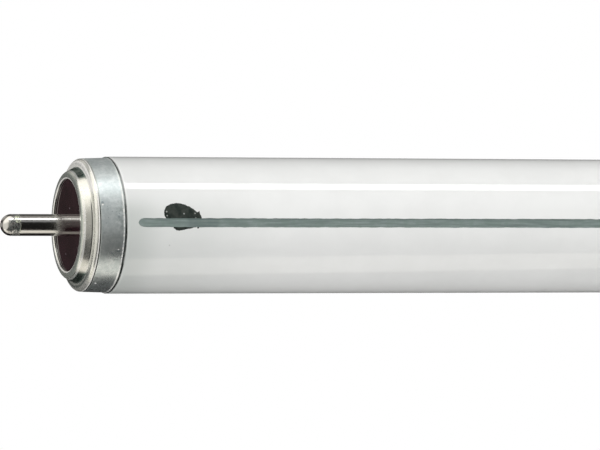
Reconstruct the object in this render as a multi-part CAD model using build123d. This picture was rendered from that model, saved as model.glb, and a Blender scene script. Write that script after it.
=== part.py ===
from build123d import *
import math
import os

# Single-pin fluorescent tube. Sizes are in millimetres and degrees.
# X runs along the lamp, and the origin is the middle of its axis.
# The photographed end points along -X, and its strip faces -Y.
# A height on a cap is measured outward along X, from the open edge of the skirt.

# The lamp as a whole
tube_diameter = 38.0
face_to_face = 574.0  # from rim face to rim face, without the pins
glass_wall = 0.85

# Pressed aluminium cap shell
cap_height = 11.4  # open edge to rim face
shell_wall = 0.4
mouth_inset = 0.05  # how far the flared mouth stays inside the tube's outline
flare_rise = 0.3
flare_length = 0.8
skirt_taper = 0.2  # drop in radius from the flare to the bead
bead_radius = 1.4
bead_setback = 2.85  # rim face back to the bead's crest
cove_slope = 28.0  # of the cone behind the rim, to the lamp's axis
cove_root = 0.5  # radius of the hollow between that cone and the bead
rim_inset = 3.93  # tube's outline in to the rim's outer edge
rim_width = 2.32  # that edge in to the rim's opening
rim_roll = 1.2
lip_roll = 0.45
lip_wall = 0.35

# Insulating disc in the rim
recess = 0.7  # rim face down to the disc
disc_thickness = 2.0
disc_clearance = 0.03  # between the disc's edge and the inside of the cove
disc_chamfer = 0.25

# Contact pin
pin_diameter = 6.0
pin_projection = 18.85  # rim face to the tip of the nose
pin_bore = 4.0
shank_diameter = 5.2  # stepped part of the pin that passes through the disc
shank_clearance = 0.02
nose_length = 3.0
nose_hole = 1.5
nose_wall = 1.7  # length of that hole
rivet_diameter = 9.0
rivet_thickness = 0.7
solder_depth = 0.9  # filling behind the nose, inside the pin
solder_nib = 0.2  # proud of the nose

# Drawn-in end of the glass
shoulder_start = 0.9  # from the mouth of the cap back to the full tube
shoulder_end = 1.1  # from the mouth of the cap in to the glass neck
neck_clearance = 0.25  # between the glass neck and the inside of the skirt
end_radius = 4.6
end_gap = 1.2  # between the crown of the glass and the back of the disc
seal_wall = 1.05
seal_dip = 0.32  # how far the seal between the tube and its stem dips below the crown
inner_wrap = 60.0  # how far the inside follows the rounded end, up to the seal
trumpet_radius = 10.2
trumpet_rim = 1.3  # crown of the glass in to where the trumpet ends and the seal begins
trumpet_length = 8.9
stem_bore = 11.2
stem_wall = 0.8
stem_length = 27.5  # crown of the glass in to the face of the press
press_length = 7.0
press_tip_diameter = 8.0
exhaust_diameter = 4.4
exhaust_bore = 2.2
exhaust_gap = 7.2  # between its sealed end and the back of the disc

# Basing cement and lead-in wires
cement_start = 1.5
cement_clearance = 0.01  # between the cement and the inside of the shell
cement_wrap = 60.0  # how far the cement reaches round the rounded end of the glass
wire_diameter = 0.6
wire_spread = 7.6  # between the two wires at the press
wire_spread_in_pin = 1.9
wire_bend_radius = 2.0
wire_bend_gap = 1.6  # between the end of the bend and the back of the disc
wire_bend_length = 3.2

# Ignition strip along the tube, and the dark patch that it crosses
strip_width = 2.5
strip_thickness = 0.1
strip_setback = 3.5  # from each cap's mouth to the strip's end
strip_nose = 2.4
strip_height = 0.8  # above the axis
patch_thickness = 0.2
patch_offset = 11.2  # from the mouth of the left cap to the patch

# Places that follow from the sizes
tube_radius = tube_diameter / 2
mouth_x = face_to_face / 2 - cap_height
disc_face = cap_height - recess
disc_back = disc_face - disc_thickness
pin_radius = pin_diameter / 2
pin_tip = cap_height + pin_projection
pin_shoulder = pin_tip - nose_length
pin_bore_radius = pin_bore / 2
shank_radius = shank_diameter / 2
disc_hole_radius = shank_radius + shank_clearance
mouth_radius = tube_radius - mouth_inset
skirt_radius = mouth_radius - flare_rise
bead_shoulder = cap_height - bead_setback - bead_radius
bead_centre_radius = skirt_radius - skirt_taper - bead_radius
rim_radius = tube_radius - rim_inset
rim_opening_radius = rim_radius - rim_width
neck_radius = skirt_radius - skirt_taper - shell_wall - neck_clearance
end_crown = disc_back - end_gap
neck_end = end_crown - end_radius
end_centre_radius = neck_radius - end_radius
disc_depth = shell_wall + disc_clearance
disc_front_edge = disc_face - disc_chamfer
cement_depth = shell_wall + cement_clearance
hole_angle = math.degrees(math.acos(nose_hole / pin_diameter))
hole_start = pin_tip - nose_wall
solder_back = pin_shoulder - solder_depth
stem_radius = stem_bore / 2
trumpet_mouth = end_crown - trumpet_rim
trumpet_start = trumpet_mouth - trumpet_length
press_face = end_crown - stem_length
exhaust_tip = disc_back - exhaust_gap
wire_bend_end = disc_back - wire_bend_gap
wire_bend_start = wire_bend_end - wire_bend_length


def at(height, radius):
    """Point on the right-hand cap, in the plane of the lamp's axis."""
    return (mouth_x + height, radius)


def turned(edges):
    """Solid of revolution about the lamp's axis from a closed outline."""
    return revolve(Plane.XZ * make_face(edges), Axis.X)


def outline(points):
    """Straight edges through the points."""
    return [Line(start, end) for start, end in zip(points, points[1:])]


def on_bead(angle, depth=0.0):
    """Point on the bead, depth inside its skin. Angle 0 faces outward along X."""
    reach = bead_radius - depth
    turn = math.radians(angle)
    return at(bead_shoulder + reach * math.cos(turn), bead_centre_radius + reach * math.sin(turn))


def on_roll(angle, depth=0.0):
    """Point on the rim's outer roll. Angle 0 faces away from the axis, 90 outward along X."""
    reach = rim_roll - depth
    turn = math.radians(angle)
    return at(
        cap_height - rim_roll + reach * math.sin(turn),
        rim_radius - rim_roll + reach * math.cos(turn),
    )


def on_lip(angle):
    """Point on the roll round the rim's opening. Angle 0 faces the axis, 90 outward along X."""
    turn = math.radians(angle)
    return at(
        cap_height - lip_roll + lip_roll * math.sin(turn),
        rim_opening_radius + lip_roll - lip_roll * math.cos(turn),
    )


# The cove is a cone that leaves the rim's roll smoothly, and a hollow that runs it into the bead.
slope = math.radians(cove_slope)
cone_height = cap_height - rim_roll + rim_roll * math.sin(slope)
cone_radius = rim_radius - rim_roll + rim_roll * math.cos(slope)
from_bead = Vector(
    cone_height + cove_root * math.sin(slope) - bead_shoulder,
    cone_radius + cove_root * math.cos(slope) - bead_centre_radius,
)
down_cone = Vector(-math.cos(slope), math.sin(slope))
reach_down = from_bead.dot(down_cone)
root_spread = from_bead.length**2 - (bead_radius + cove_root) ** 2
root_offset = from_bead - down_cone * (reach_down + math.sqrt(reach_down**2 - root_spread))
root_height = bead_shoulder + root_offset.X
root_radius = bead_centre_radius + root_offset.Y
bead_wrap = math.degrees(math.atan2(-root_offset.Y, root_offset.X))
bead_middle = (90 - bead_wrap) / 2
root_middle = (90 - cove_slope - bead_wrap) / 2


def on_cone(height, depth=0.0):
    """Point of the cone at a height, depth under its outer skin."""
    base = cone_height - depth * math.sin(slope)
    return at(height, cone_radius - depth * math.cos(slope) + (base - height) * math.tan(slope))


def on_root(angle, depth=0.0):
    """Point on the hollow. Angle is the way that the skin faces, 0 outward along X."""
    reach = cove_root + depth
    turn = math.radians(angle)
    return at(root_height - reach * math.cos(turn), root_radius - reach * math.sin(turn))


def skirt_to_cone(depth):
    """Bead and hollow as one smooth run, from the end of the skirt to the cone."""
    cone_end = on_root(90 - cove_slope, depth)
    return [
        ThreePointArc(on_bead(90, depth), on_bead(bead_middle, depth), on_bead(-bead_wrap, depth)),
        ThreePointArc(on_root(-bead_wrap, depth), on_root(root_middle, depth), cone_end),
    ]


def cap_shell():
    """Skirt, bead, cove and rolled rim, pressed from one sheet."""
    skirt_start = at(flare_length, skirt_radius)
    cone_end = 90 - cove_slope
    roll_middle = (cove_slope + 90) / 2
    lip_inside = rim_opening_radius + lip_wall
    edges = [
        TangentArc(skirt_start, at(0, mouth_radius), tangent=(-1, 0)),
        Line(skirt_start, on_bead(90)),
        *skirt_to_cone(0),
        Line(on_root(cone_end), on_roll(cove_slope)),
        ThreePointArc(on_roll(cove_slope), on_roll(roll_middle), on_roll(90)),
        Line(on_roll(90), on_lip(90)),
        ThreePointArc(on_lip(90), on_lip(45), on_lip(0)),
    ]
    edges += outline([
        on_lip(0),
        at(disc_face, rim_opening_radius),
        at(disc_face, lip_inside),
        at(cap_height - shell_wall, lip_inside),
        on_roll(90, shell_wall),
    ])
    edges += [
        ThreePointArc(
            on_roll(90, shell_wall), on_roll(roll_middle, shell_wall), on_roll(cove_slope, shell_wall)
        ),
        Line(on_roll(cove_slope, shell_wall), on_root(cone_end, shell_wall)),
        *skirt_to_cone(shell_wall),
    ]
    edges += outline([
        on_bead(90, shell_wall),
        at(flare_length, skirt_radius - shell_wall),
        at(0, mouth_radius - shell_wall),
        at(0, mouth_radius),
    ])
    return turned(edges)


def cap_insulator():
    """Disc whose coned edge seats inside the cove, behind the rolled rim."""
    corner = on_cone(disc_front_edge, disc_depth)
    edges = outline([
        at(disc_back, disc_hole_radius),
        at(disc_face, disc_hole_radius),
        at(disc_face, corner[1] - disc_chamfer),
        corner,
        on_cone(disc_back, disc_depth),
        at(disc_back, disc_hole_radius),
    ])
    return turned(edges)


def nose(angle):
    """Point on the pin's nose. Angle 0 is its shoulder, 90 its tip."""
    turn = math.radians(angle)
    return at(pin_shoulder + nose_length * math.sin(turn), pin_radius * math.cos(turn))


def contact_pin():
    """Hollow pin with a pierced round nose, shouldered on the disc and riveted over behind it."""
    rivet_back = disc_back - rivet_thickness
    edges = outline([
        at(pin_shoulder, pin_radius),
        at(disc_face, pin_radius),
        at(disc_face, shank_radius),
        at(disc_back, shank_radius),
        at(disc_back, rivet_diameter / 2),
        at(rivet_back, rivet_diameter / 2),
        at(rivet_back, pin_bore_radius),
        at(pin_shoulder, pin_bore_radius),
        at(hole_start, nose_hole / 2),
        nose(hole_angle),
    ])
    edges.append(ThreePointArc(nose(hole_angle), nose(hole_angle / 2), nose(0)))
    return turned(edges)


def pin_solder():
    """Solder that closes the nose over the ends of the wires, with a low domed bead outside."""
    hole_rim = nose(hole_angle)
    tip = at(pin_tip + solder_nib, 0)
    dome = tip[0] - hole_rim[0]
    dome_radius = ((nose_hole / 2) ** 2 + dome**2) / (2 * dome)
    half_turn = math.asin(nose_hole / 2 / dome_radius) / 2
    on_dome = (
        tip[0] - dome_radius * (1 - math.cos(half_turn)),
        dome_radius * math.sin(half_turn),
    )
    edges = [ThreePointArc(hole_rim, on_dome, tip)]
    edges += outline([
        tip,
        at(solder_back, 0),
        at(solder_back, pin_bore_radius),
        at(pin_shoulder, pin_bore_radius),
        at(hole_start, nose_hole / 2),
        hole_rim,
    ])
    return turned(edges)


def on_end(angle, depth=0.0):
    """Point on the rounded end of the glass. Angle 0 is the neck, 90 its crown."""
    reach = end_radius - depth
    turn = math.radians(angle)
    return at(neck_end + reach * math.sin(turn), end_centre_radius + reach * math.cos(turn))


def trumpet(height, depth=0.0):
    """Point on the flared mouth of the stem, depth under its open side."""
    reach = trumpet_radius - depth
    fall = math.sqrt(reach**2 - (height - trumpet_start) ** 2)
    return at(height, stem_radius + trumpet_radius - fall)


def trumpet_arc(start, end, depth=0.0):
    middle = (start + end) / 2
    return ThreePointArc(trumpet(start, depth), trumpet(middle, depth), trumpet(end, depth))


def shoulder(depth):
    """Where the glass draws in to pass under the skirt."""
    full = at(-shoulder_start, tube_radius - depth)
    drawn = at(shoulder_end, neck_radius - depth)
    return Spline([full, drawn], tangents=[(1, 0), (1, 0)])


def glass_outside():
    """Outside of the right half: wall, drawn-in end, hollow stem and sealed exhaust tube."""
    exhaust_radius = exhaust_diameter / 2
    crown = on_end(90)
    seal_radius = (crown[1] + trumpet(trumpet_mouth)[1]) / 2
    seal_middle = at(end_crown - seal_dip, seal_radius)
    exhaust_end = exhaust_tip - exhaust_radius
    edges = [
        Line((0, 0), (0, tube_radius)),
        Line((0, tube_radius), at(-shoulder_start, tube_radius)),
        shoulder(0),
        Line(at(shoulder_end, neck_radius), at(neck_end, neck_radius)),
        ThreePointArc(on_end(0), on_end(45), crown),
        ThreePointArc(crown, seal_middle, trumpet(trumpet_mouth)),
        trumpet_arc(trumpet_mouth, trumpet_start),
    ]
    edges += outline([
        trumpet(trumpet_start),
        at(press_face, stem_radius),
        at(press_face, exhaust_radius),
        at(exhaust_end, exhaust_radius),
    ])
    on_tip = exhaust_radius * math.sqrt(0.5)
    edges.append(
        ThreePointArc(
            at(exhaust_end, exhaust_radius),
            at(exhaust_end + on_tip, on_tip),
            at(exhaust_tip, 0),
        )
    )
    edges.append(Line(at(exhaust_tip, 0), (0, 0)))
    return turned(edges)


def glass_inside():
    """Space inside the right half, with the channel through the press to the exhaust tube."""
    channel_end = exhaust_tip - exhaust_diameter / 2
    seal_start = on_end(inner_wrap, glass_wall)
    seal_foot = trumpet_mouth - stem_wall
    seal_middle = at(end_crown - seal_wall, end_centre_radius)
    press_back = press_face - press_length
    edges = [
        Line((0, 0), (0, tube_radius - glass_wall)),
        Line((0, tube_radius - glass_wall), at(-shoulder_start, tube_radius - glass_wall)),
        shoulder(glass_wall),
        Line(at(shoulder_end, neck_radius - glass_wall), on_end(0, glass_wall)),
        ThreePointArc(on_end(0, glass_wall), on_end(inner_wrap / 2, glass_wall), seal_start),
        ThreePointArc(seal_start, seal_middle, trumpet(seal_foot, stem_wall)),
        trumpet_arc(seal_foot, trumpet_start, stem_wall),
    ]
    edges += outline([
        trumpet(trumpet_start, stem_wall),
        at(press_face, stem_radius + stem_wall),
        at(press_back, press_tip_diameter / 2),
        at(press_back, exhaust_bore / 2),
        at(channel_end, exhaust_bore / 2),
        at(channel_end, 0),
        (0, 0),
    ])
    return turned(edges)


def basing_cement():
    """Ring that bonds the skirt and the disc to the drawn-in glass."""
    skirt_slope = skirt_taper / (bead_shoulder - flare_length)
    start_radius = skirt_radius - cement_depth - (cement_start - flare_length) * skirt_slope
    edges = outline([
        at(cement_start, neck_radius),
        at(cement_start, start_radius),
        on_bead(90, cement_depth),
    ])
    edges += skirt_to_cone(cement_depth)
    edges += outline([
        on_root(90 - cove_slope, cement_depth),
        on_cone(disc_back, cement_depth),
        at(disc_back, on_end(cement_wrap)[1]),
        on_end(cement_wrap),
    ])
    edges.append(ThreePointArc(on_end(cement_wrap), on_end(cement_wrap / 2), on_end(0)))
    edges += outline([on_end(0), at(cement_start, neck_radius)])
    return turned(edges)


def lead_wire(side):
    """Wire from the press of the stem into the pin's bore. Side is 1 above the axis, -1 below."""
    apart = side * wire_spread / 2
    close = side * wire_spread_in_pin / 2
    start = at(press_face, apart)
    route = FilletPolyline(
        Vector(start[0], 0, apart),
        Vector(at(wire_bend_start, 0)[0], 0, apart),
        Vector(at(wire_bend_end, 0)[0], 0, close),
        Vector(at(solder_back, 0)[0], 0, close),
        radius=wire_bend_radius,
    )
    section = Plane(origin=(start[0], 0, apart), z_dir=(1, 0, 0)) * Circle(wire_diameter / 2)
    return sweep(section, route)


def skin(depth):
    """Outer skin of the tube, as deep as given, between the two caps."""
    ring = Cylinder(tube_radius, 2 * mouth_x) - Cylinder(tube_radius - depth, 2 * mouth_x)
    return Rot(0, 90, 0) * ring


def on_front(face, depth):
    """Part of the skin behind a flat outline, on the side that faces -Y."""
    return skin(depth) & extrude(Plane.XZ * face, amount=tube_diameter)


def ignition_strip():
    """Thin conductive strip along the tube, with a rounded end near each cap."""
    half = mouth_x - strip_setback
    straight = half - strip_nose
    face = Rectangle(2 * straight, strip_width)
    for end in (-straight, straight):
        face += Pos(end, 0) * Ellipse(strip_nose, strip_width / 2)
    return on_front(Pos(0, strip_height) * face, strip_thickness)


def strip_contact_patch(strip):
    """Uneven dark patch that the strip crosses, with a hump above it and a shallow lobe below."""
    hump = [(0.1, 1.4), (-0.1, 3.4), (1.8, 5.05), (4.0, 5.35), (6.2, 4.8), (7.9, 4.0), (9.3, 2.85)]
    lobe = [(10.65, 1.1), (10.2, 0.0), (8.3, -1.25), (6.3, -1.75), (4.1, -2.2), (2.9, -1.9), (2.1, -1.2)]
    spike = (9.95, 3.15)
    edges = [ThreePointArc(*hump[first:first + 3]) for first in (0, 2, 4)]
    edges += outline([hump[-1], spike, lobe[0]])
    edges += [ThreePointArc(*lobe[first:first + 3]) for first in (0, 2, 4)]
    edges.append(Line(lobe[-1], hump[0]))
    face = Pos(patch_offset - mouth_x, strip_height) * make_face(edges)
    return on_front(face, patch_thickness) - strip


def glass_tube(strip, patch):
    """Sealed glass tube, both ends alike, with beds for the strip and the patch."""
    half = glass_outside() - glass_inside()
    whole = half + mirror(half, Plane.YZ)
    return whole - strip - patch


strip = ignition_strip()
patch = strip_contact_patch(strip)
pieces = {
    "glass_tube": glass_tube(strip, patch),
    "ignition_strip": strip,
    "strip_contact_patch": patch,
}
cap = {
    "cap_shell": cap_shell(),
    "cap_insulator": cap_insulator(),
    "contact_pin": contact_pin(),
    "pin_solder": pin_solder(),
    "cap_cement": basing_cement(),
    "upper_lead_wire": lead_wire(1),
    "lower_lead_wire": lead_wire(-1),
}
for name, piece in cap.items():
    pieces["right_" + name] = piece
    pieces["left_" + name] = mirror(piece, Plane.YZ)

os.makedirs("parts", exist_ok=True)
for name, piece in pieces.items():
    export_step(piece, "parts/" + name + ".step")
print(len(pieces), "pieces, overall length", 2 * (mouth_x + pin_tip + solder_nib))
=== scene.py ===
import math
import bpy
from mathutils import Euler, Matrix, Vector


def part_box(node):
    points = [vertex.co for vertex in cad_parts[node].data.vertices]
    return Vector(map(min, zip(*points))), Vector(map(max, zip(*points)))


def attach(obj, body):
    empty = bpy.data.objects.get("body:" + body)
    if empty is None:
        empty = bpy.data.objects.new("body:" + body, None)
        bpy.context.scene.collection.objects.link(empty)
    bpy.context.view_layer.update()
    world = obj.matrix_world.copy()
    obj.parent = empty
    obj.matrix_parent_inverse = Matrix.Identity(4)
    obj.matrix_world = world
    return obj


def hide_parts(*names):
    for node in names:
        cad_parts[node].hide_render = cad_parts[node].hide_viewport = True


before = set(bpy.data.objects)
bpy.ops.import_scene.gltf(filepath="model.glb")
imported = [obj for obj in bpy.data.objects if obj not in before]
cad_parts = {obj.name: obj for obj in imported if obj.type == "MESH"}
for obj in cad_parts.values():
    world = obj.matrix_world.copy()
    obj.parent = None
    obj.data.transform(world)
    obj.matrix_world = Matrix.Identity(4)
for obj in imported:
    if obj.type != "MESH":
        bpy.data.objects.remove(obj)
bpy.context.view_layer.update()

# Single-pin fluorescent tube. X runs along the lamp, and the photographed end points along -X.
# Sizes are in millimetres and turned into metres where they are used. Lamps and floor are given in metres.
# A height on a cap is measured outward along X, from the open edge of its skirt.
MM = 0.001
mouth_x = -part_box("left_cap_shell")[1].x / MM
tube_radius = 19.0

# Cap shell
cap_height = 11.4
shell_wall = 0.4
mouth_step = 0.05
mouth_radius = tube_radius - mouth_step
flare_rise = 0.3
flare_length = 0.8
skirt_radius = mouth_radius - flare_rise
skirt_taper = 0.2
bead_radius = 1.4
bead_shoulder = 7.15
bead_start = 83
crease_depth = 0.12
bead_centre_radius = skirt_radius - skirt_taper - bead_radius
cove_slope = 28.0
cove_root = 0.5
rim_radius = 15.07
rim_opening_radius = 12.75
rim_roll = 1.2
lip_roll = 0.45
lip_wall = 0.35

# Disc
disc_face = 10.7
disc_back = 8.7
disc_edge_radius = 14.6
disc_back_radius = 15.53
disc_chamfer = 0.25
disc_middle_ring = 6.0

# Pin
pin_radius = 3.0
pin_tip = 30.25
pin_foot = 0.5
nose_length = 3.0
nose_hole_radius = 0.75
nose_wall = 1.7
groove_depth = 0.05
rivet_radius = 4.5
rivet_thickness = 0.7
shank_radius = 2.6
shank_clearance = 0.02
pin_bore_radius = 2.0
solder_depth = 0.9
solder_nib = 0.2

# Glass, drawn in under each skirt
neck_radius = 17.8
shoulder_start = -0.9
shoulder_end = 1.1
glass_crown = 7.5
crown_dip = 0.3

# Strip and patch, laid on the skin of the glass
strip_width = 2.45
strip_gap = 3.5
strip_length = 2 * (mouth_x - strip_gap)
strip_nose = 1.9
strip_height = 0.84
strip_lift = 0.03
edge_wander = 0.25
wander_size = 2.5
patch_offset = 11.2
patch_lift = 0.012
patch_scallop = 0.13
dot_radius = 0.28
dot_sides = 20
dot_offset = 20.7
dot_height = -0.51
coat_wall = 0.08
front_of_glass = -22.0

# The glass gives way for the coats and a small gap, so that the strip stays inside the tube's true radius
skin_gap = 0.001
glass_radius = tube_radius - strip_lift - skin_gap

# Photographer's camera, found by fitting the cap and the tube's outline
camera_place = (-736.9, -1460.7, 8.45)
camera_heading = 19.54
camera_dip = 0.307
camera_roll = 0.218
focal_pixels = 5529.9
picture_width = 600


def deselect():
    """Leaves edit mode and deselects everything."""
    if bpy.context.object and bpy.context.object.mode == "EDIT":
        bpy.ops.object.mode_set(mode="OBJECT")
    bpy.ops.object.select_all(action="DESELECT")


def activate(piece):
    """Selects one piece alone and makes it the active one."""
    deselect()
    piece.select_set(True)
    bpy.context.view_layer.objects.active = piece


def arc(centre, radius, start, end, steps):
    """Stations round an arc, from one angle to another. Angle 0 points outward along X."""
    stations = []
    for step in range(steps + 1):
        turn = math.radians(start + (end - start) * step / steps)
        stations.append((centre[0] + radius * math.cos(turn), centre[1] + radius * math.sin(turn)))
    return stations


def at(height, radius):
    """Station on the right-hand cap."""
    return (mouth_x + height, radius)


def turned(name, stations, segments=224, sharp_angle=32):
    """Piece turned about X through (place, radius) stations. A station on the axis closes a pole."""
    pole_radius = 0.01
    merge_distance = 0.004
    deselect()
    first = stations[0]
    bpy.ops.mesh.primitive_circle_add(
        vertices=segments,
        radius=max(first[1], pole_radius) * MM,
        location=(first[0] * MM, 0, 0),
        rotation=(0, math.pi / 2, 0),
    )
    piece = bpy.context.object
    piece.name = name
    piece.data.name = name
    bpy.ops.object.transform_apply()
    bpy.ops.object.mode_set(mode="EDIT")
    bpy.ops.mesh.select_all(action="SELECT")
    for before, after in zip(stations, stations[1:]):
        step = (after[0] - before[0]) * MM
        growth = max(after[1], pole_radius) / max(before[1], pole_radius)
        bpy.ops.mesh.extrude_edges_move(TRANSFORM_OT_translate={"value": (step, 0, 0)})
        bpy.ops.transform.resize(value=(1, growth, growth))
    bpy.ops.mesh.select_all(action="SELECT")
    bpy.ops.mesh.remove_doubles(threshold=merge_distance * MM)
    bpy.ops.object.mode_set(mode="OBJECT")
    for place, radius in (first, stations[-1]):
        if radius == 0:
            close_pole(piece, place, 2 * pole_radius)
    bpy.ops.object.mode_set(mode="EDIT")
    bpy.ops.mesh.select_all(action="SELECT")
    bpy.ops.mesh.normals_make_consistent(inside=False)
    bpy.ops.object.mode_set(mode="OBJECT")
    bpy.ops.object.shade_smooth_by_angle(angle=math.radians(sharp_angle))
    return piece


def close_pole(piece, place, reach):
    """Draws the small ring left at a place on the axis together into one point."""
    bpy.ops.object.mode_set(mode="EDIT")
    bpy.ops.mesh.select_all(action="DESELECT")
    bpy.ops.object.mode_set(mode="OBJECT")
    for vertex in piece.data.vertices:
        off_axis = math.hypot(vertex.co.y, vertex.co.z)
        vertex.select = off_axis < reach * MM and abs(vertex.co.x - place * MM) < reach * MM
    bpy.ops.object.mode_set(mode="EDIT")
    bpy.ops.mesh.merge(type="CENTER")
    bpy.ops.object.mode_set(mode="OBJECT")


def mirrored(piece, name):
    """Copy of a piece at the other end of the lamp, with its own mesh."""
    copy = piece.copy()
    copy.data = piece.data.copy()
    copy.name = name
    copy.data.name = name
    bpy.context.scene.collection.objects.link(copy)
    activate(copy)
    bpy.ops.object.mode_set(mode="EDIT")
    bpy.ops.mesh.select_all(action="SELECT")
    bpy.ops.transform.mirror(
        constraint_axis=(True, False, False), orient_type="GLOBAL", center_override=(0, 0, 0)
    )
    bpy.ops.mesh.normals_make_consistent(inside=False)
    bpy.ops.object.mode_set(mode="OBJECT")
    return copy


def finish_piece(piece, material, node):
    """Gives a piece its finish, hangs it on the root body and hides the CAD node it stands for."""
    piece.data.materials.clear()
    piece.data.materials.append(material)
    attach(piece, "root")
    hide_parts(node)


def put(tree, kind, inputs=(), **settings):
    """Adds a node. An input is a plain value or the socket that feeds it."""
    made = tree.nodes.new(kind)
    for name, value in settings.items():
        setattr(made, name, value)
    for name, value in dict(inputs).items():
        if isinstance(value, bpy.types.NodeSocket):
            tree.links.new(value, made.inputs[name])
        else:
            made.inputs[name].default_value = value
    return made


def maths(tree, operation, first, second=0.0):
    """Result of one arithmetic step on one or two levels."""
    return put(tree, "ShaderNodeMath", {0: first, 1: second}, operation=operation).outputs[0]


def times(tree, first, *others):
    """Product of two or more levels."""
    product = first
    for other in others:
        product = maths(tree, "MULTIPLY", product, other)
    return product


def strongest(tree, first, *others):
    """Highest of two or more levels."""
    highest = first
    for other in others:
        highest = maths(tree, "MAXIMUM", highest, other)
    return highest


def fade(tree, value, start, end, at_start=0.0, at_end=1.0):
    """Level that eases from at_start, where the value is start, to at_end, where it is end."""
    limits = {"Value": value, "From Min": start, "From Max": end, "To Min": at_start, "To Max": at_end}
    return put(tree, "ShaderNodeMapRange", limits, interpolation_type="SMOOTHSTEP").outputs["Result"]


def between(tree, value, low, high, soft):
    """Mask that is 1 from low to high and fades out over a soft width past each."""
    rise = fade(tree, value, low - soft, low)
    return times(tree, rise, fade(tree, value, high + soft, high))


def blend(tree, share, first, second):
    """Mixes two colours by a share. The node has its sockets for colours after those for numbers."""
    share_input, first_input, second_input, colour_output = 0, 6, 7, 2
    inputs = {share_input: share, first_input: first, second_input: second}
    return put(tree, "ShaderNodeMix", inputs, data_type="RGBA").outputs[colour_output]


def effect(name, inputs, output):
    """Empty node group with named inputs and one output. Returns it with its two ends."""
    group = bpy.data.node_groups.new(name, "ShaderNodeTree")
    for label, kind, default in inputs:
        socket = group.interface.new_socket(label, in_out="INPUT", socket_type=kind)
        if default is not None:
            socket.default_value = default
    group.interface.new_socket(output, in_out="OUTPUT", socket_type="NodeSocketFloat")
    return group, group.nodes.new("NodeGroupInput").outputs, group.nodes.new("NodeGroupOutput").inputs


def clouded(group, wave, given):
    """Noise whose middle levels are spread out between a Low and a High."""
    darkest, palest = 0.35, 0.65
    cloud = put(group, "ShaderNodeTexNoise", wave).outputs["Fac"]
    return fade(group, cloud, darkest, palest, at_start=given["Low"], at_end=given["High"])


def mottle_effect():
    """Soft clouds between two levels."""
    group, given, made = effect("cloudy_mottle", [
        ("Place", "NodeSocketVector", None),
        ("Scale", "NodeSocketFloat", 200.0),
        ("Low", "NodeSocketFloat", 0.0),
        ("High", "NodeSocketFloat", 1.0),
    ], "Level")
    wave = {"Vector": given["Place"], "Scale": given["Scale"], "Detail": 4.0, "Roughness": 0.6}
    group.links.new(clouded(group, wave, given), made["Level"])
    return group


def speck_effect():
    """Scattered round specks. Share is how many of the cells hold one, Radius its size in a cell."""
    group, given, made = effect("scattered_specks", [
        ("Place", "NodeSocketVector", None),
        ("Scale", "NodeSocketFloat", 400.0),
        ("Radius", "NodeSocketFloat", 0.25),
        ("Share", "NodeSocketFloat", 0.2),
    ], "Mask")
    core_share = 0.6
    cells = put(group, "ShaderNodeTexVoronoi", {"Vector": given["Place"], "Scale": given["Scale"]}).outputs
    pick = put(group, "ShaderNodeSeparateColor", {"Color": cells["Color"]}).outputs["Red"]
    kept = maths(group, "LESS_THAN", pick, given["Share"])
    core = times(group, given["Radius"], core_share)
    spot = fade(group, cells["Distance"], given["Radius"], core)
    group.links.new(times(group, spot, kept), made["Mask"])
    return group


def streak_effect():
    """Fine lines drawn along X."""
    group, given, made = effect("drawn_streaks", [
        ("Place", "NodeSocketVector", None),
        ("Along", "NodeSocketFloat", 60.0),
        ("Across", "NodeSocketFloat", 2500.0),
        ("Low", "NodeSocketFloat", 0.0),
        ("High", "NodeSocketFloat", 1.0),
    ], "Level")
    scales = {"X": given["Along"], "Y": given["Across"], "Z": given["Across"]}
    ratio = put(group, "ShaderNodeCombineXYZ", scales).outputs[0]
    stretched = put(group, "ShaderNodeVectorMath", {0: given["Place"], 1: ratio}, operation="MULTIPLY")
    wave = {"Vector": stretched.outputs[0], "Scale": 1.0, "Detail": 3.0, "Roughness": 0.6}
    group.links.new(clouded(group, wave, given), made["Level"])
    return group


def spot_effect():
    """One soft-edged spot round a centre."""
    group, given, made = effect("single_spot", [
        ("Place", "NodeSocketVector", None),
        ("Centre", "NodeSocketVector", None),
        ("Radius", "NodeSocketFloat", 0.0005),
    ], "Mask")
    core_share = 0.5
    ends = {0: given["Place"], 1: given["Centre"]}
    away = put(group, "ShaderNodeVectorMath", ends, operation="DISTANCE").outputs["Value"]
    core = times(group, given["Radius"], core_share)
    group.links.new(fade(group, away, given["Radius"], core), made["Mask"])
    return group


mottle_group = mottle_effect()
speck_group = speck_effect()
streak_group = streak_effect()
spot_group = spot_effect()


def placed(tree, group, **inputs):
    """Places a shared effect in a material and returns what it puts out."""
    return put(tree, "ShaderNodeGroup", inputs, node_tree=group).outputs[0]


def spots(tree, place, marks):
    """Mask of small marks on the photographed end. Each mark is (height, y, z, radius) in millimetres."""
    mask = 0.0
    for height, y, z, radius in marks:
        centre = (-(mouth_x + height) * MM, y * MM, z * MM)
        spot = placed(tree, spot_group, Place=place, Centre=centre, Radius=radius * MM)
        mask = strongest(tree, spot, mask)
    return mask


def finish(name, **plain):
    """New material. Returns it with its tree, its shader and the place in the part's own frame."""
    material = bpy.data.materials.new(name)
    material.use_nodes = True
    tree = material.node_tree
    shader = tree.nodes["Principled BSDF"]
    for label, value in plain.items():
        shader.inputs[label.replace("_", " ")].default_value = value
    place = tree.nodes.new("ShaderNodeTexCoord").outputs["Object"]
    return material, tree, shader, place


def relief(tree, shader, height, depth):
    """Raises the surface by a height that runs from 0 to 1, as far as the depth in millimetres."""
    bump = put(tree, "ShaderNodeBump", {"Height": height, "Distance": depth * MM})
    tree.links.new(bump.outputs["Normal"], shader.inputs["Normal"])


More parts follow.
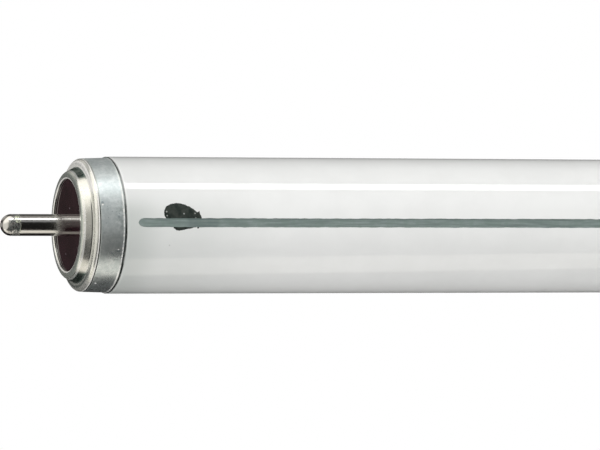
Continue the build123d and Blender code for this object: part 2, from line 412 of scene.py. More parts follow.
def up_the_cap(tree, place):
    """Height on the nearer cap in millimetres. It is below zero on the tube."""
    along = put(tree, "ShaderNodeSeparateXYZ", {"Vector": place}).outputs["X"]
    outward = maths(tree, "DIVIDE", maths(tree, "ABSOLUTE", along), MM)
    return maths(tree, "SUBTRACT", outward, mouth_x)


def off_the_axis(tree, place):
    """Distance from the lamp's axis in millimetres."""
    axes = put(tree, "ShaderNodeSeparateXYZ", {"Vector": place}).outputs
    across = put(tree, "ShaderNodeCombineXYZ", {"Y": axes["Y"], "Z": axes["Z"]}).outputs[0]
    radius = put(tree, "ShaderNodeVectorMath", {0: across}, operation="LENGTH").outputs["Value"]
    return maths(tree, "DIVIDE", radius, MM)


def up_the_side(tree, place):
    """Height above the lamp's axis in millimetres."""
    above = put(tree, "ShaderNodeSeparateXYZ", {"Vector": place}).outputs["Z"]
    return maths(tree, "DIVIDE", above, MM)


def glass_finish():
    """White powder coat seen through clear glass, greyer towards the caps, mostly on the lower side, with a
    painted shade line where it goes in under the skirt.
    """
    material, tree, shader, place = finish(
        "coated_glass",
        Roughness=0.75,
        Coat_Weight=1.0,
        Coat_Roughness=0.06,
        Coat_IOR=1.65,
        Specular_IOR_Level=0.0,
    )
    dull_white = (0.845, 0.85, 0.835, 1)
    clean_white = (0.875, 0.88, 0.865, 1)
    aged_white = (0.56, 0.585, 0.56, 1)
    dust_grey = (0.3, 0.3, 0.3, 1)
    seam_shade_black = (0.015, 0.02, 0.018, 1)
    speck_share = 0.35
    height = up_the_cap(tree, place)
    above = up_the_side(tree, place)
    near_cap = fade(tree, height, -13.0, -1.0, at_end=0.5)
    round_end = fade(tree, height, -50.0, -10.0, at_end=0.42)
    lower_side = fade(tree, above, 12.0, 2.0, at_start=0.12)
    aging = times(tree, maths(tree, "ADD", near_cap, round_end), lower_side)
    cloud = placed(tree, mottle_group, Place=place, Scale=60.0)
    white = blend(tree, cloud, dull_white, clean_white)
    aged = blend(tree, aging, white, aged_white)
    speck = spots(tree, place, [(-12.7, -18.2, -5.4, 0.3)])
    specked = blend(tree, times(tree, speck, speck_share), aged, dust_grey)
    # Painted shade: the dark line in the gap where the glass goes in under the skirt, broken up by a mottle
    patchy = placed(tree, mottle_group, Place=place, Scale=500.0, Low=0.55, High=1.0)
    fainter_above = fade(tree, above, 8.0, 4.0, at_start=0.7)
    seam_shade = times(tree, fade(tree, height, -0.48, -0.3), patchy, fainter_above)
    tree.links.new(blend(tree, seam_shade, specked, seam_shade_black), shader.inputs["Base Color"])
    tree.links.new(fade(tree, seam_shade, 0.0, 0.6, at_start=1.0, at_end=0.0), shader.inputs["Coat Weight"])
    return material


# Strip and patch are matt coats under one clear gloss
behind_glass = {"Roughness": 0.6, "Coat_Weight": 1.0, "Coat_IOR": 1.5, "Specular_IOR_Level": 0.1}


def strip_finish():
    """Grey-green coat, streaked along the tube, darker at its upper edge and where it leaves the patch."""
    material, tree, shader, place = finish("ignition_coat", Coat_Roughness=0.05, **behind_glass)
    dark_streak = (0.165, 0.205, 0.195, 1)
    pale_streak = (0.24, 0.29, 0.275, 1)
    greener = (0.16, 0.22, 0.19, 1)
    edge_grey = (0.09, 0.12, 0.11, 1)
    carbon_grey = (0.08, 0.11, 0.11, 1)
    cloud_share, edge_share, carbon_share = 0.4, 0.5, 0.35
    streak = placed(tree, streak_group, Place=place, Along=120.0, Across=1800.0)
    cloud = placed(tree, mottle_group, Place=place, Scale=700.0)
    streaked = blend(tree, streak, dark_streak, pale_streak)
    mottled = blend(tree, times(tree, cloud, cloud_share), streaked, greener)
    above_middle = maths(tree, "SUBTRACT", up_the_side(tree, place), strip_height)
    upper_edge = fade(tree, above_middle, 0.25 * strip_width, 0.45 * strip_width)
    edged = blend(tree, times(tree, upper_edge, edge_share), mottled, edge_grey)
    past_patch = between(tree, up_the_cap(tree, place), -26.0, -18.5, soft=1.5)
    colour = blend(tree, times(tree, past_patch, carbon_share), edged, carbon_grey)
    tree.links.new(colour, shader.inputs["Base Color"])
    return material


def patch_finish():
    """Dark mottled carbon coat with a few pale pinholes."""
    material, tree, shader, place = finish("contact_coat", Coat_Roughness=0.08, **behind_glass)
    carbon = (0.018, 0.025, 0.022, 1)
    thin_carbon = (0.045, 0.052, 0.045, 1)
    powder_grey = (0.5, 0.52, 0.5, 1)
    dust_share, hole_share = 0.3, 0.6
    cloud = placed(tree, mottle_group, Place=place, Scale=500.0)
    dark = blend(tree, cloud, carbon, thin_carbon)
    dust = placed(tree, speck_group, Place=place, Scale=900.0, Radius=0.2, Share=0.05)
    holes = spots(tree, place, [
        (-11.7, -18.6, 3.85, 0.3),
        (-11.8, -18.75, 2.75, 0.25),
        (-16.7, -18.65, 3.3, 0.28),
        (-19.9, -18.65, 3.4, 0.25),
    ])
    pale = strongest(tree, times(tree, dust, dust_share), times(tree, holes, hole_share))
    tree.links.new(blend(tree, pale, dark, powder_grey), shader.inputs["Base Color"])
    return material


def stained_metal(tree, place, height, above, on_skirt, stain):
    """Bare metal, cool and stained on the skirt and warm past it, with pits and dark marks."""
    dark_cool, pale_cool = (0.69, 0.75, 0.75, 1), (0.78, 0.83, 0.83, 1)
    dark_warm, pale_warm = (0.79, 0.8, 0.74, 1), (0.86, 0.86, 0.81, 1)
    stain_grey = (0.36, 0.44, 0.44, 1)
    blotch_grey = (0.3, 0.36, 0.34, 1)
    mark_blue = (0.2, 0.27, 0.3, 1)
    stain_share, blotch_share, pit_share, mark_share = 0.3, 0.6, 0.5, 0.55
    cloud = placed(tree, mottle_group, Place=place, Scale=350.0)
    cool = blend(tree, cloud, dark_cool, pale_cool)
    warm = blend(tree, cloud, dark_warm, pale_warm)
    metal = blend(tree, on_skirt, warm, cool)
    stained = blend(tree, times(tree, stain, on_skirt, stain_share), metal, stain_grey)
    near_edge = times(tree, fade(tree, height, 3.6, 0.4), between(tree, above, 0.0, 5.0, soft=3.0))
    blotched = blend(tree, times(tree, stain, near_edge, blotch_share), stained, blotch_grey)
    pits = placed(tree, speck_group, Place=place, Scale=1600.0, Radius=0.3, Share=0.16)
    pitted = times(tree, pits, on_skirt, between(tree, above, -10.0, 5.0, soft=2.0), pit_share)
    marks = spots(tree, place, [
        (6.36, -17.5, 6.3, 0.55),
        (1.6, -17.25, -6.9, 0.5),
        (1.9, -18.2, 2.4, 0.6),
    ])
    dark_marks = strongest(tree, times(tree, marks, mark_share), pitted)
    return blend(tree, dark_marks, blotched, mark_blue)


def shaded_creases(tree, height, radius, above):
    """Mask of the painted shade behind the bead, at its root, in the open edge's gap and inside the rim."""
    root_share, rim_share = 0.85, 0.93
    behind_bead = between(tree, height, 6.98, 7.2, soft=0.08)
    crease = times(tree, behind_bead, fade(tree, above, 9.0, 3.0, at_start=0.35, at_end=0.95))
    root_line = between(tree, height, 8.68, 8.86, soft=0.12)
    root = times(tree, root_line, between(tree, above, -8.0, 5.0, soft=3.0), root_share)
    darker_below = fade(tree, above, 8.0, 4.0, at_start=0.5, at_end=0.95)
    darker_on_top = fade(tree, above, 13.0, 15.0, at_start=0.5, at_end=0.95)
    edge_gap = times(tree, fade(tree, height, 0.3, 0.16), strongest(tree, darker_below, darker_on_top))
    inside_rim = times(tree, fade(tree, radius, 12.95, 12.8), fade(tree, height, 11.2, 11.0), rim_share)
    return strongest(tree, crease, root, edge_gap, inside_rim)


def edge_highlights_and_flecks(tree, place, height, radius, above):
    """Mask of the painted highlights along the bead, root, rim and lip, the pale line at the mouth, and
    three pale flecks.
    """
    bead_share, shoulder_share = 0.85, 0.5
    flecks = spots(tree, place, [
        (6.3, -17.4, 5.7, 0.4),
        (1.75, -17.2, -6.5, 0.4),
        (5.8, -9.4, -15.9, 0.35),
    ])
    beads = placed(tree, mottle_group, Place=place, Scale=1400.0, Low=0.3, High=1.0)
    open_line = between(tree, height, 0.38, 0.58, soft=0.1)
    open_edge = times(tree, open_line, beads, fade(tree, above, 15.0, 10.0, at_start=0.25))
    bead_edge = times(tree, between(tree, height, 7.37, 7.55, soft=0.07), bead_share)
    root_edge = times(tree, between(tree, height, 8.36, 8.52, soft=0.1), fade(tree, above, 7.0, 11.0))
    lip = times(tree, fade(tree, height, 11.2, 11.3), between(tree, radius, 12.82, 13.15, soft=0.08))
    shoulder = times(tree, between(tree, height, 10.4, 10.8, soft=0.12), shoulder_share)
    return strongest(tree, flecks, open_edge, bead_edge, root_edge, lip, shoulder)


def cap_finish():
    """Pressed aluminium: stained skirt, brighter bead, cove and rim, painted dark reflections on the cove,
    painted shade in the creases, painted highlights on the edges.
    """
    material, tree, shader, place = finish("pressed_aluminium")
    cove_reflection_dark = (0.1, 0.16, 0.14, 1)
    rim_reflection_grey = (0.42, 0.47, 0.42, 1)
    crease_shade_black = (0.012, 0.016, 0.015, 1)
    highlight_white = (0.93, 0.91, 0.87, 1)
    face_share = 0.75
    height = up_the_cap(tree, place)
    radius = off_the_axis(tree, place)
    above = up_the_side(tree, place)
    on_skirt = fade(tree, height, 7.4, 6.8)
    stain = placed(tree, mottle_group, Place=place, Scale=1100.0)
    marked = stained_metal(tree, place, height, above, on_skirt, stain)
    # Painted dark reflections, mottled, on the cove where it faces up and down, and the rim's face painted
    # grey for its reflection
    off_level = fade(tree, maths(tree, "ABSOLUTE", above), 12.4, 13.6)
    in_cove = between(tree, height, 8.6, 10.7, soft=0.15)
    cove_dark_reflection = times(tree, off_level, in_cove, fade(tree, stain, 0.0, 1.0, at_start=0.75))
    cove_reflected = blend(tree, cove_dark_reflection, marked, cove_reflection_dark)
    on_rim = between(tree, radius, 13.3, 14.7, soft=0.15)
    rim_face = times(tree, fade(tree, height, 10.95, 11.1), on_rim, face_share)
    rim_reflected = blend(tree, rim_face, cove_reflected, rim_reflection_grey)
    # Painted shade in the creases, in the gap at the open edge and inside the rim
    crease_shaded = blend(tree, shaded_creases(tree, height, radius, above), rim_reflected, crease_shade_black)
    # Painted highlights along the bead, root, rim roll and lip, with pale flecks and a pale line at the open
    # edge
    pale = edge_highlights_and_flecks(tree, place, height, radius, above)
    tree.links.new(blend(tree, pale, crease_shaded, highlight_white), shader.inputs["Base Color"])
    # The metal is duller on the rim's face, which is painted grey for its reflection; dust dulls it on the
    # top of the bead and on the skirt's upper half
    bead_top = fade(tree, above, 8.0, 12.0, at_start=0.82, at_end=0.66)
    bead_foot = fade(tree, above, -8.0, -12.0, at_start=0.82, at_end=0.72)
    bead_metal = maths(tree, "MINIMUM", bead_top, bead_foot)
    on_bead = fade(tree, height, 9.0, 8.8, at_start=0.93, at_end=bead_metal)
    dull_face = fade(tree, rim_face, 0.0, face_share, at_start=on_bead, at_end=0.65)
    dusty = fade(tree, above, -4.0, 1.0, at_start=0.87, at_end=0.72)
    metallic = fade(tree, on_skirt, 0.0, 1.0, at_start=dull_face, at_end=dusty)
    tree.links.new(fade(tree, pale, 0.0, 1.0, at_start=metallic, at_end=0.1), shader.inputs["Metallic"])
    rough = placed(tree, mottle_group, Place=place, Scale=250.0, Low=0.23, High=0.3)
    hazy = times(tree, on_skirt, fade(tree, above, -8.0, -3.0, at_start=0.02, at_end=0.19))
    tree.links.new(maths(tree, "ADD", rough, hazy), shader.inputs["Roughness"])
    grain = placed(tree, mottle_group, Place=place, Scale=1500.0)
    relief(tree, shader, grain, depth=0.004)
    return material


def disc_finish():
    """Glossy, very dark red moulding with a little dust."""
    material, tree, shader, place = finish(
        "moulded_disc", Roughness=0.06, Coat_Weight=0.2, Coat_Roughness=0.03, Specular_IOR_Level=0.4
    )
    dark_red = (0.022, 0.008, 0.0105, 1)
    paler_red = (0.031, 0.0115, 0.0155, 1)
    dust_pink = (0.3, 0.25, 0.28, 1)
    dust_share, fleck_share = 0.4, 0.7
    cloud = placed(tree, mottle_group, Place=place, Scale=120.0)
    dark = blend(tree, cloud, dark_red, paler_red)
    dust = placed(tree, speck_group, Place=place, Scale=500.0, Radius=0.12, Share=0.08)
    flecks = spots(tree, place, [
        (disc_face, -1.04, 4.64, 0.32),
        (disc_face, -8.1, -6.2, 0.26),
        (disc_face, 2.45, -8.0, 0.3),
    ])
    pale = strongest(tree, times(tree, dust, dust_share), times(tree, flecks, fleck_share))
    tree.links.new(blend(tree, pale, dark, dust_pink), shader.inputs["Base Color"])
    relief(tree, shader, cloud, depth=0.01)
    return material


def pin_finish():
    """Bright nickel, drawn along its length, etched and mottled round the joint behind the nose."""
    material, tree, shader, place = finish("nickel_plate")
    bright_nickel = (0.78, 0.77, 0.74, 1)
    etched_nickel = (0.02, 0.034, 0.028, 1)
    pale_flux = (0.72, 0.77, 0.55, 1)
    etch_share, hollow_share, ring_share, dull_share = 0.7, 1.25, 0.7, 0.7
    polish, etched_roughness, etched_height = 0.19, 0.25, 6.0
    height = up_the_cap(tree, place)
    above = up_the_side(tree, place)
    cloud = placed(tree, mottle_group, Place=place, Scale=2200.0)
    # Etched band round the joint, darkest in a hollow at mid height
    band = between(tree, height, 25.6, 27.2, soft=0.4)
    mid_height = between(tree, above, -1.9, 1.2, soft=0.3)
    hollow = times(tree, between(tree, height, 25.4, 28.4, soft=0.3), mid_height, hollow_share)
    wear = times(tree, cloud, strongest(tree, times(tree, band, etch_share), hollow))
    plate = blend(tree, wear, bright_nickel, etched_nickel)
    # Pale ring behind the band, and a pale smear above the hollow
    ring = times(tree, between(tree, height, 25.25, 25.4, soft=0.1), cloud)
    over_hollow = between(tree, above, 0.9, 2.3, soft=0.4)
    smear = times(tree, between(tree, height, 25.6, 26.6, soft=0.3), over_hollow, cloud)
    pale = strongest(tree, times(tree, ring, ring_share), smear)
    tree.links.new(blend(tree, pale, plate, pale_flux), shader.inputs["Base Color"])
    dull = strongest(tree, pale, times(tree, wear, dull_share))
    tree.links.new(fade(tree, dull, 0.0, 1.0, at_start=1.0, at_end=0.2), shader.inputs["Metallic"])
    roughness = maths(tree, "ADD", times(tree, wear, etched_roughness), polish)
    tree.links.new(roughness, shader.inputs["Roughness"])
    line = placed(tree, streak_group, Place=place, Along=200.0, Across=6000.0)
    relief(tree, shader, maths(tree, "ADD", line, times(tree, wear, etched_height)), depth=0.002)
    return material


def dull_finish(name, darker, paler, scale, **plain):
    """Plain mottled finish for the solder and for the pieces inside the caps."""
    material, tree, shader, place = finish(name, **plain)
    cloud = placed(tree, mottle_group, Place=place, Scale=scale)
    tree.links.new(blend(tree, cloud, darker, paler), shader.inputs["Base Color"])
    relief(tree, shader, cloud, depth=0.01)
    return material


def cove_hollow():
    """Centre of the hollow between the cone and the bead, and how far the bead wraps to meet it."""
    slope = math.radians(cove_slope)
    down_cone = Vector((-math.cos(slope), math.sin(slope)))
    facing = Vector((math.sin(slope), math.cos(slope)))
    roll_centre = Vector((cap_height - rim_roll, rim_radius - rim_roll))
    bead_centre = Vector((bead_shoulder, bead_centre_radius))
    from_bead = roll_centre + (rim_roll + cove_root) * facing - bead_centre
    reach = from_bead.dot(down_cone)
    spread = from_bead.length_squared - (bead_radius + cove_root) ** 2
    offset = from_bead - down_cone * (reach + math.sqrt(reach**2 - spread))
    return bead_centre + offset, math.degrees(math.atan2(-offset.y, offset.x))


def cap_section():
    """Closed outline of the shell, from its mouth over the outside and back inside."""
    flare = (flare_length**2 + flare_rise**2) / (2 * flare_rise)
    flare_start = 180 + math.degrees(math.asin((flare - flare_rise) / flare))
    roll_centre = (cap_height - rim_roll, rim_radius - rim_roll)
    bead_centre = (bead_shoulder, bead_centre_radius)
    hollow, bead_wrap = cove_hollow()
    lip_inside = rim_opening_radius + lip_wall
    section = arc((flare_length, skirt_radius + flare), flare, flare_start, 270, steps=6)
    skirt_length = bead_shoulder - flare_length
    # Places behind the bead's shoulder, with the depth of the crease there
    skirt = ((6.1, 0.0), (3.0, 0.0), (0.3, 0.0), (0.18, crease_depth), (-0.06, crease_depth))
    for back, depth in skirt:
        drop = skirt_taper * (skirt_length - back) / skirt_length
        section.append((bead_shoulder - back, skirt_radius - drop - depth))
    section += arc(bead_centre, bead_radius, bead_start, -bead_wrap, steps=24)
    section += arc(hollow, cove_root, 180 - bead_wrap, 270 - cove_slope, steps=20)[1:]
    cone = arc(roll_centre, rim_roll, 90 - cove_slope, 0, steps=14)
    # Stations near both ends of the cone keep its shading straight
    for share in (0.08, 0.92):
        section.append(tuple(Vector(section[-1]).lerp(Vector(cone[0]), share)))
    section += cone
    section += arc((cap_height - lip_roll, rim_opening_radius + lip_roll), lip_roll, 0, -90, steps=12)
    section += [(disc_face, rim_opening_radius), (disc_face, lip_inside)]
    section.append((cap_height - shell_wall, lip_inside))
    section += arc(roll_centre, rim_roll - shell_wall, 0, 90 - cove_slope, steps=4)
    section += arc(hollow, cove_root + shell_wall, 270 - cove_slope, 180 - bead_wrap, steps=8)
    section += arc(bead_centre, bead_radius - shell_wall, -bead_wrap, 90, steps=6)[1:]
    section += [(flare_length, skirt_radius - shell_wall), (0, mouth_radius - shell_wall), (0, mouth_radius)]
    return [at(*station) for station in section]


def pin_section():
    """Closed outline of the pin, from its hole over the nose and back to the rivet."""
    shoulder = pin_tip - nose_length
    # Places behind the nose's shoulder, with the depth of the groove there
    groove = ((0.08, groove_depth), (0.2, groove_depth), (0.26, 0.0), (0.6, 0.0))
    rivet_back = disc_back - rivet_thickness
    hole = math.degrees(math.acos(nose_hole_radius / pin_radius))
    section = arc((shoulder, 0), pin_radius, 90 - hole, 90, steps=20)
    section += [(shoulder - back, pin_radius - depth) for back, depth in groove]
    section += [(disc_face + pin_foot, pin_radius), (disc_face, pin_radius)]
    section += [(disc_face, shank_radius), (disc_back, shank_radius), (disc_back, rivet_radius)]
    section += [(rivet_back, rivet_radius), (rivet_back, pin_bore_radius), (shoulder, pin_bore_radius)]
    section.append((pin_tip - nose_wall, nose_hole_radius))
    section += section[:1]
    return [at(*station) for station in section]


def solder_section():
    """Outline of the solder, from its domed tip to the plug behind the nose."""
    shoulder = pin_tip - nose_length
    rim = math.sqrt(pin_radius**2 - nose_hole_radius**2) + shoulder
    dome = pin_tip + solder_nib - rim
    radius = (nose_hole_radius**2 + dome**2) / (2 * dome)
    spread = math.degrees(math.asin(nose_hole_radius / radius))
    section = arc((pin_tip + solder_nib - radius, 0), radius, 0, spread, steps=8)
    section += [(pin_tip - nose_wall, nose_hole_radius), (shoulder, pin_bore_radius)]
    section += [(shoulder - solder_depth, pin_bore_radius), (shoulder - solder_depth, 0)]
    return [at(*station) for station in section]


def disc_section():
    """Closed outline of the disc, with a chamfered front edge and a coned seat."""
    hole = shank_radius + shank_clearance
    section = [(disc_face, hole), (disc_face, disc_middle_ring)]
    section += [(disc_face, disc_edge_radius - disc_chamfer), (disc_face - disc_chamfer, disc_edge_radius)]
    section += [(disc_back, disc_back_radius), (disc_back, hole)]
    section += section[:1]
    return [at(*station) for station in section]


def glass_section():
    """Outline of the glass from pole to pole, drawn in under each skirt."""
    # Stations along the tube, closer together near the cap
    straight_run = (-260.0, -200.0, -100.0, -40.0, -8.0, -2.0, -1.2)
    # Heights past the shoulder, and how far the glass is drawn in from the neck there
    crown = ((2.9, 0.0), (4.8, 0.4), (6.5, 1.8), (glass_crown, 4.6))
    half = [(height, glass_radius) for height in straight_run]
    steps = 10
    for step in range(steps + 1):
        share = step / steps
        ease = share * share * (3 - 2 * share)
        height = shoulder_start + (shoulder_end - shoulder_start) * share
        half.append((height, glass_radius + (neck_radius - glass_radius) * ease))
    half += [(height, neck_radius - drawn_in) for height, drawn_in in crown]
    half.append((glass_crown - crown_dip, 0))
    right = [at(*station) for station in half]
    left = [(-place, radius) for place, radius in reversed(right)]
    return left + right


def laid_on_glass(piece, glass, lift):
    """Wraps a flat sheet onto the tube and gives it a little thickness, into the glass."""
    sharp_angle = 40
    activate(piece)
    wrap = piece.modifiers.new("wrap", "SHRINKWRAP")
    wrap.target = glass
    wrap.wrap_method = "PROJECT"
    wrap.use_project_y = True
    wrap.use_negative_direction = False
    wrap.use_positive_direction = True
    wrap.offset = lift * MM
    bpy.ops.object.modifier_apply(modifier=wrap.name)
    wall = piece.modifiers.new("wall", "SOLIDIFY")
    wall.thickness = coat_wall * MM
    wall.offset = -1
    bpy.ops.object.modifier_apply(modifier=wall.name)
    bpy.ops.object.shade_smooth_by_angle(angle=math.radians(sharp_angle))


def ignition_strip(glass):
    """Long narrow sheet with bullet ends and slightly uneven edges."""
    deselect()
    bpy.ops.mesh.primitive_grid_add(
        x_subdivisions=1500,
        y_subdivisions=6,
        size=1,
        location=(0, front_of_glass * MM, strip_height * MM),
        rotation=(math.pi / 2, 0, 0),
    )
    piece = bpy.context.object
    piece.name = "ignition_line"
    piece.scale = (strip_length * MM, strip_width * MM, 1)
    bpy.ops.object.transform_apply()
    for vertex in piece.data.vertices:
        from_end = strip_length / 2 - abs(vertex.co.x) / MM
        if from_end < strip_nose:
            taper = math.sqrt(max(1 - (1 - from_end / strip_nose) ** 2, 0.0))
            vertex.co.z = strip_height * MM + (vertex.co.z - strip_height * MM) * taper
    texture = bpy.data.textures.new("edge_wander", "CLOUDS")
    texture.noise_scale = wander_size * MM
    wander = piece.modifiers.new("wander", "DISPLACE")
    wander.texture = texture
    wander.direction = "Z"
    wander.texture_coords = "LOCAL"
    wander.strength = edge_wander * MM
    bpy.ops.object.modifier_apply(modifier=wander.name)
    laid_on_glass(piece, glass, strip_lift)
    return piece


def arc_through(first, middle, last, steps):
    """Points on the arc through three points, without the last one."""
    ax, ay = middle[0] - first[0], middle[1] - first[1]
    bx, by = last[0] - first[0], last[1] - first[1]
    twice_area = 2 * (ax * by - ay * bx)
    a_square, b_square = ax * ax + ay * ay, bx * bx + by * by
    centre = Vector((
        first[0] + (by * a_square - ay * b_square) / twice_area,
        first[1] + (ax * b_square - bx * a_square) / twice_area,
    ))
    start = Vector(first) - centre
    turn = start.angle_signed(Vector(last) - centre)
    points = []
    for step in range(steps):
        angle = -turn * step / steps
        points.append((
            centre.x + start.x * math.cos(angle) - start.y * math.sin(angle),
            centre.y + start.x * math.sin(angle) + start.y * math.cos(angle),
        ))
    return points


def straight(first, last, steps):
    """Points on a line, without the last one."""
    return [tuple(Vector(first).lerp(Vector(last), step / steps)) for step in range(steps)]


def patch_outline():
    """Hump above the strip, spike at its far side and shallow lobe below, with a scalloped edge."""
    hump = [(0.1, 1.4), (-0.1, 3.4), (1.8, 5.05), (4.0, 5.35), (6.2, 4.8), (7.9, 4.0), (9.3, 2.85)]
    lobe = [(10.65, 1.1), (10.3, 0.0), (8.9, -1.25), (6.5, -1.75), (4.2, -2.2), (3.0, -1.9), (2.3, -1.2)]
    spike = (9.95, 3.15)
    middle = Vector((5.2, 1.6))
    mean_wave = 0.3
    points = []
    for first in (0, 2, 4):
        points += arc_through(*hump[first:first + 3], steps=24)
    points += straight(hump[-1], spike, steps=5) + straight(spike, lobe[0], steps=12)
    for first in (0, 2, 4):
        points += arc_through(*lobe[first:first + 3], steps=20)
    points += straight(lobe[-1], hump[0], steps=16)
    scalloped = []
    # Waves of three lengths make the scallops uneven
    for step, point in enumerate(points):
        away = (Vector(point) - middle).normalized()
        wave = 0.5 * abs(math.sin(0.31 * step)) + 0.3 * math.sin(0.83 * step) + 0.2 * math.sin(1.9 * step)
        scalloped.append(Vector(point) + away * patch_scallop * (wave - mean_wave))
    return scalloped


def flat_sheet(name, outline, x, z):
    """Flat sheet in front of the tube with a given outline, cut both ways so that it can bend."""
    pitch = 0.35
    deselect()
    bpy.ops.mesh.primitive_circle_add(
        vertices=len(outline), radius=MM, fill_type="NGON", location=(0, front_of_glass * MM, 0)
    )
    piece = bpy.context.object
    piece.name = name
    bpy.ops.object.transform_apply()
    for vertex, point in zip(piece.data.vertices, outline):
        vertex.co = ((x + point[0]) * MM, front_of_glass * MM, (z + point[1]) * MM)
    low = min(point[1] for point in outline)
    high = max(point[1] for point in outline)
    left = min(point[0] for point in outline)
    right = max(point[0] for point in outline)
    bpy.ops.object.mode_set(mode="EDIT")
    for low_end, high_end, offset, normal in ((low, high, z, (0, 0, 1)), (left, right, x, (1, 0, 0))):
        for cut in range(1, int((high_end - low_end) / pitch) + 1):
            level = (offset + low_end + cut * pitch) * MM
            bpy.ops.mesh.select_all(action="SELECT")
            bpy.ops.mesh.bisect(plane_co=(level * normal[0], 0, level * normal[2]), plane_no=normal)
    bpy.ops.mesh.select_all(action="SELECT")
    bpy.ops.mesh.normals_make_consistent(inside=False)
    bpy.ops.object.mode_set(mode="OBJECT")
    face_front(piece)
    return piece


def face_front(piece):
    """Turns a flat sheet's faces to -Y."""
    if piece.data.polygons[0].normal.y > 0:
        activate(piece)
        bpy.ops.object.mode_set(mode="EDIT")
        bpy.ops.mesh.select_all(action="SELECT")
        bpy.ops.mesh.flip_normals()
        bpy.ops.object.mode_set(mode="OBJECT")


def contact_patch(glass):
    """The patch with the small stray dot beside it."""
    patch = flat_sheet("contact_paint", patch_outline(), patch_offset - mouth_x, strip_height)
    turns = [side / (dot_sides / 2) * math.pi for side in range(dot_sides)]
    ring = [(dot_radius * math.cos(turn), dot_radius * math.sin(turn)) for turn in turns]
    dot = flat_sheet("stray_dot", ring, dot_offset - mouth_x, dot_height)
    deselect()
    dot.select_set(True)
    patch.select_set(True)
    bpy.context.view_layer.objects.active = patch
    bpy.ops.object.join()
    laid_on_glass(patch, glass, patch_lift)
    return patch


glass = turned("coated_tube", glass_section(), segments=256)
strip = ignition_strip(glass)
patch = contact_patch(glass)
right_shell = turned("right_shell", cap_section())
right_pin = turned("right_pin_body", pin_section(), segments=128)
right_solder = turned("right_pin_bead", solder_section(), segments=64)
right_disc = turned("right_disc", disc_section(), segments=160)

cap_metal = cap_finish()
nickel = pin_finish()
disc = disc_finish()
solder = dull_finish(
    "tip_solder",
    darker=(0.45, 0.45, 0.44, 1),
    paler=(0.66, 0.66, 0.65, 1),
    scale=1500.0,
    Metallic=1.0,
    Roughness=0.35,
)
cement = dull_finish(
    "basing_cement",
    darker=(0.5, 0.43, 0.34, 1),
    paler=(0.68, 0.6, 0.5, 1),
    scale=600.0,
    Roughness=0.9,
)
wire = dull_finish(
    "wire_metal",
    darker=(0.5, 0.49, 0.45, 1),
    paler=(0.66, 0.64, 0.6, 1),
    scale=1200.0,
    Metallic=1.0,
    Roughness=0.3,
)

finish_piece(glass, glass_finish(), "glass_tube")
finish_piece(strip, strip_finish(), "ignition_strip")
finish_piece(patch, patch_finish(), "strip_contact_patch")
for piece, name, material, node, slot in (
    (right_shell, "shell", cap_metal, "cap_shell", "cap_metal"),
    (right_pin, "pin_body", nickel, "contact_pin", "pin_plating"),
    (right_solder, "pin_bead", solder, "pin_solder", "solder"),
    (right_disc, "disc", disc, "cap_insulator", "insulator"),
):
    left = mirrored(piece, "left_" + name)
    finish_piece(piece, material, "right_" + node)
    finish_piece(left, material, "left_" + node)

# The cement and the lead-in wires keep their CAD meshes
for name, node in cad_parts.items():
    if node.hide_render:
        continue
    node.data.materials.clear()
    node.data.materials.append(cement if "cement" in name else wire)


def lamp(name, place, size, radiance, turn, colour=(1.0, 1.0, 1.0), mirrored_too=True, lights_matt=True):
    """Soft rectangular lamp that the camera doesn't see. Place and size in metres, turn in degrees."""
    width, height = size
    data = bpy.data.lights.new(name, "AREA")
    data.shape = "RECTANGLE"
    data.size = width
    data.size_y = height
    data.energy = radiance * math.pi * width * height
    data.color = colour
    made = bpy.data.objects.new(name, data)
    made.location = place
    made.rotation_euler = Euler([math.radians(angle) for angle in turn])
    made.visible_camera = False
    made.visible_glossy = mirrored_too
    made.visible_diffuse = lights_matt
    bpy.context.scene.collection.objects.link(made)


def floor():
    """Plain pale floor. Mirror rays pass it by, so the metal shows the dark studio below."""
    floor_radius = 4.0
    floor_level = -0.35
    pale_grey = (0.8, 0.8, 0.8, 1)
    paler_grey = (0.82, 0.82, 0.82, 1)
    deselect()
    bpy.ops.mesh.primitive_circle_add(
        vertices=96, radius=floor_radius, fill_type="NGON", location=(0, 0, floor_level)
    )
    made = bpy.context.object
    made.name = "floor"
    made.visible_glossy = False
    material, tree, shader, place = finish("pale_floor", Roughness=0.9, Specular_IOR_Level=0.1)
    cloud = placed(tree, mottle_group, Place=place, Scale=3.0)
    tree.links.new(blend(tree, cloud, pale_grey, paler_grey), shader.inputs["Base Color"])
    made.data.materials.append(material)


def lamps():
    """Strip overhead, two panels seen only in reflections, and soft fills in front and on the left."""
    lamp("overhead_strip", place=(0.49, -0.31, 0.8), size=(2.2, 0.23), radiance=4.5, turn=(-20, 0, 0))
    lamp(
        "overhead_wing", place=(0.3, -0.66, 0.7), size=(1.6, 0.5), radiance=0.24, turn=(43, 0, 0),
        colour=(0.98, 0.99, 1.0), lights_matt=False,
    )
    lamp(
        "under_reflector", place=(-0.2, -0.084, -0.33), size=(1.2, 0.19), radiance=0.88, turn=(180, 0, -27),
        colour=(1.0, 0.95, 0.86), lights_matt=False,
    )
    lamp(
        "front_fill", place=(-0.7, -2.0, 0.3), size=(2.0, 2.0), radiance=1.4, turn=(98, 0, -19),
        mirrored_too=False,
    )
    lamp(
        "side_fill", place=(-1.6, -0.5, 0.1), size=(1.0, 1.0), radiance=1.8, turn=(90, 0, -73),
        mirrored_too=False,
    )


def glow(tree, direction, centre, edge, core, strength):
    """Soft round light in the studio. Edge and core are the cosines of its reach and its full part."""
    ends = {0: direction, 1: Vector(centre).normalized()}
    nearness = put(tree, "ShaderNodeVectorMath", ends, operation="DOT_PRODUCT").outputs["Value"]
    return fade(tree, nearness, edge, core, at_end=strength)


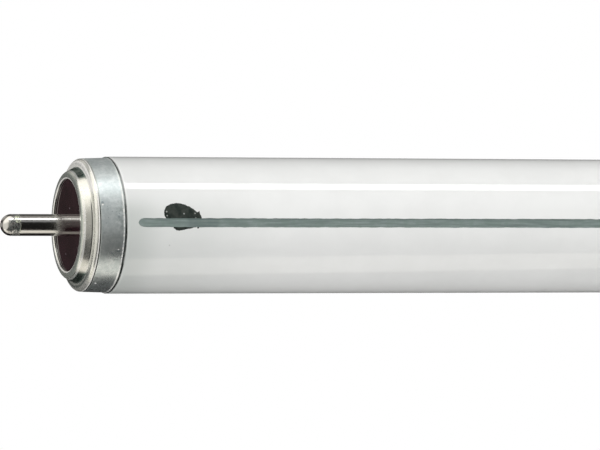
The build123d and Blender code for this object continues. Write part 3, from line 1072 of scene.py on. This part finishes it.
def surroundings():
    """White to the camera. Reflections show a sky up on the left, dim glows and a panel past each end."""
    dark_studio = 0.01
    soft_light = 0.46
    neutral = (1, 1, 1, 1)
    warm = (1.0, 0.965, 0.9, 1)
    world = bpy.data.worlds.new("studio")
    bpy.context.scene.world = world
    world.use_nodes = True
    world.cycles.sampling_method = "NONE"
    tree = world.node_tree
    backdrop = tree.nodes["Background"]
    direction = put(tree, "ShaderNodeTexCoord").outputs["Generated"]
    axes = put(tree, "ShaderNodeSeparateXYZ", {"Vector": direction}).outputs
    up_left = glow(tree, direction, (-0.6, 0.1, 0.79), edge=0.42, core=0.93, strength=1.3)
    sky = times(tree, up_left, fade(tree, axes["Y"], 0.42, 0.3), fade(tree, axes["X"], 0.25, 0.0))
    back = glow(tree, direction, (-0.3, 0.78, 0.55), edge=0.93, core=0.99, strength=0.5)
    above = glow(tree, direction, (0.294, 0.166, 0.94), edge=0.93, core=0.965, strength=0.25)
    wall = glow(tree, direction, (-0.62, -0.74, 0.26), edge=0.62, core=1.0, strength=0.28)
    behind = glow(tree, direction, (-0.15, 0.98, 0.0), edge=0.75, core=0.97, strength=0.05)
    toward_ends = maths(tree, "ABSOLUTE", axes["X"])
    panel = times(tree, fade(tree, toward_ends, 0.66, 0.74, at_end=0.75), fade(tree, axes["Y"], 0.6, 0.35))
    studio = strongest(tree, dark_studio, sky, above, back, wall, behind, panel)
    path = put(tree, "ShaderNodeLightPath").outputs
    reflected = times(tree, path["Is Glossy Ray"], studio)
    soft = times(tree, path["Is Diffuse Ray"], soft_light)
    seen = strongest(tree, path["Is Camera Ray"], path["Is Transmission Ray"])
    tree.links.new(strongest(tree, seen, reflected, soft), backdrop.inputs["Strength"])
    tree.links.new(blend(tree, path["Is Glossy Ray"], neutral, warm), backdrop.inputs["Color"])


def camera():
    """Camera at the photograph's viewing angle."""
    data = bpy.data.cameras.new("camera")
    data.lens = data.sensor_width * focal_pixels / picture_width
    made = bpy.data.objects.new("camera", data)
    made.location = [place * MM for place in camera_place]
    turn = (90 - camera_dip, -camera_roll, -camera_heading)
    made.rotation_euler = Euler([math.radians(angle) for angle in turn])
    bpy.context.scene.collection.objects.link(made)
    bpy.context.scene.camera = made


floor()
lamps()
surroundings()
camera()
bpy.context.scene.view_settings.view_transform = "Standard"
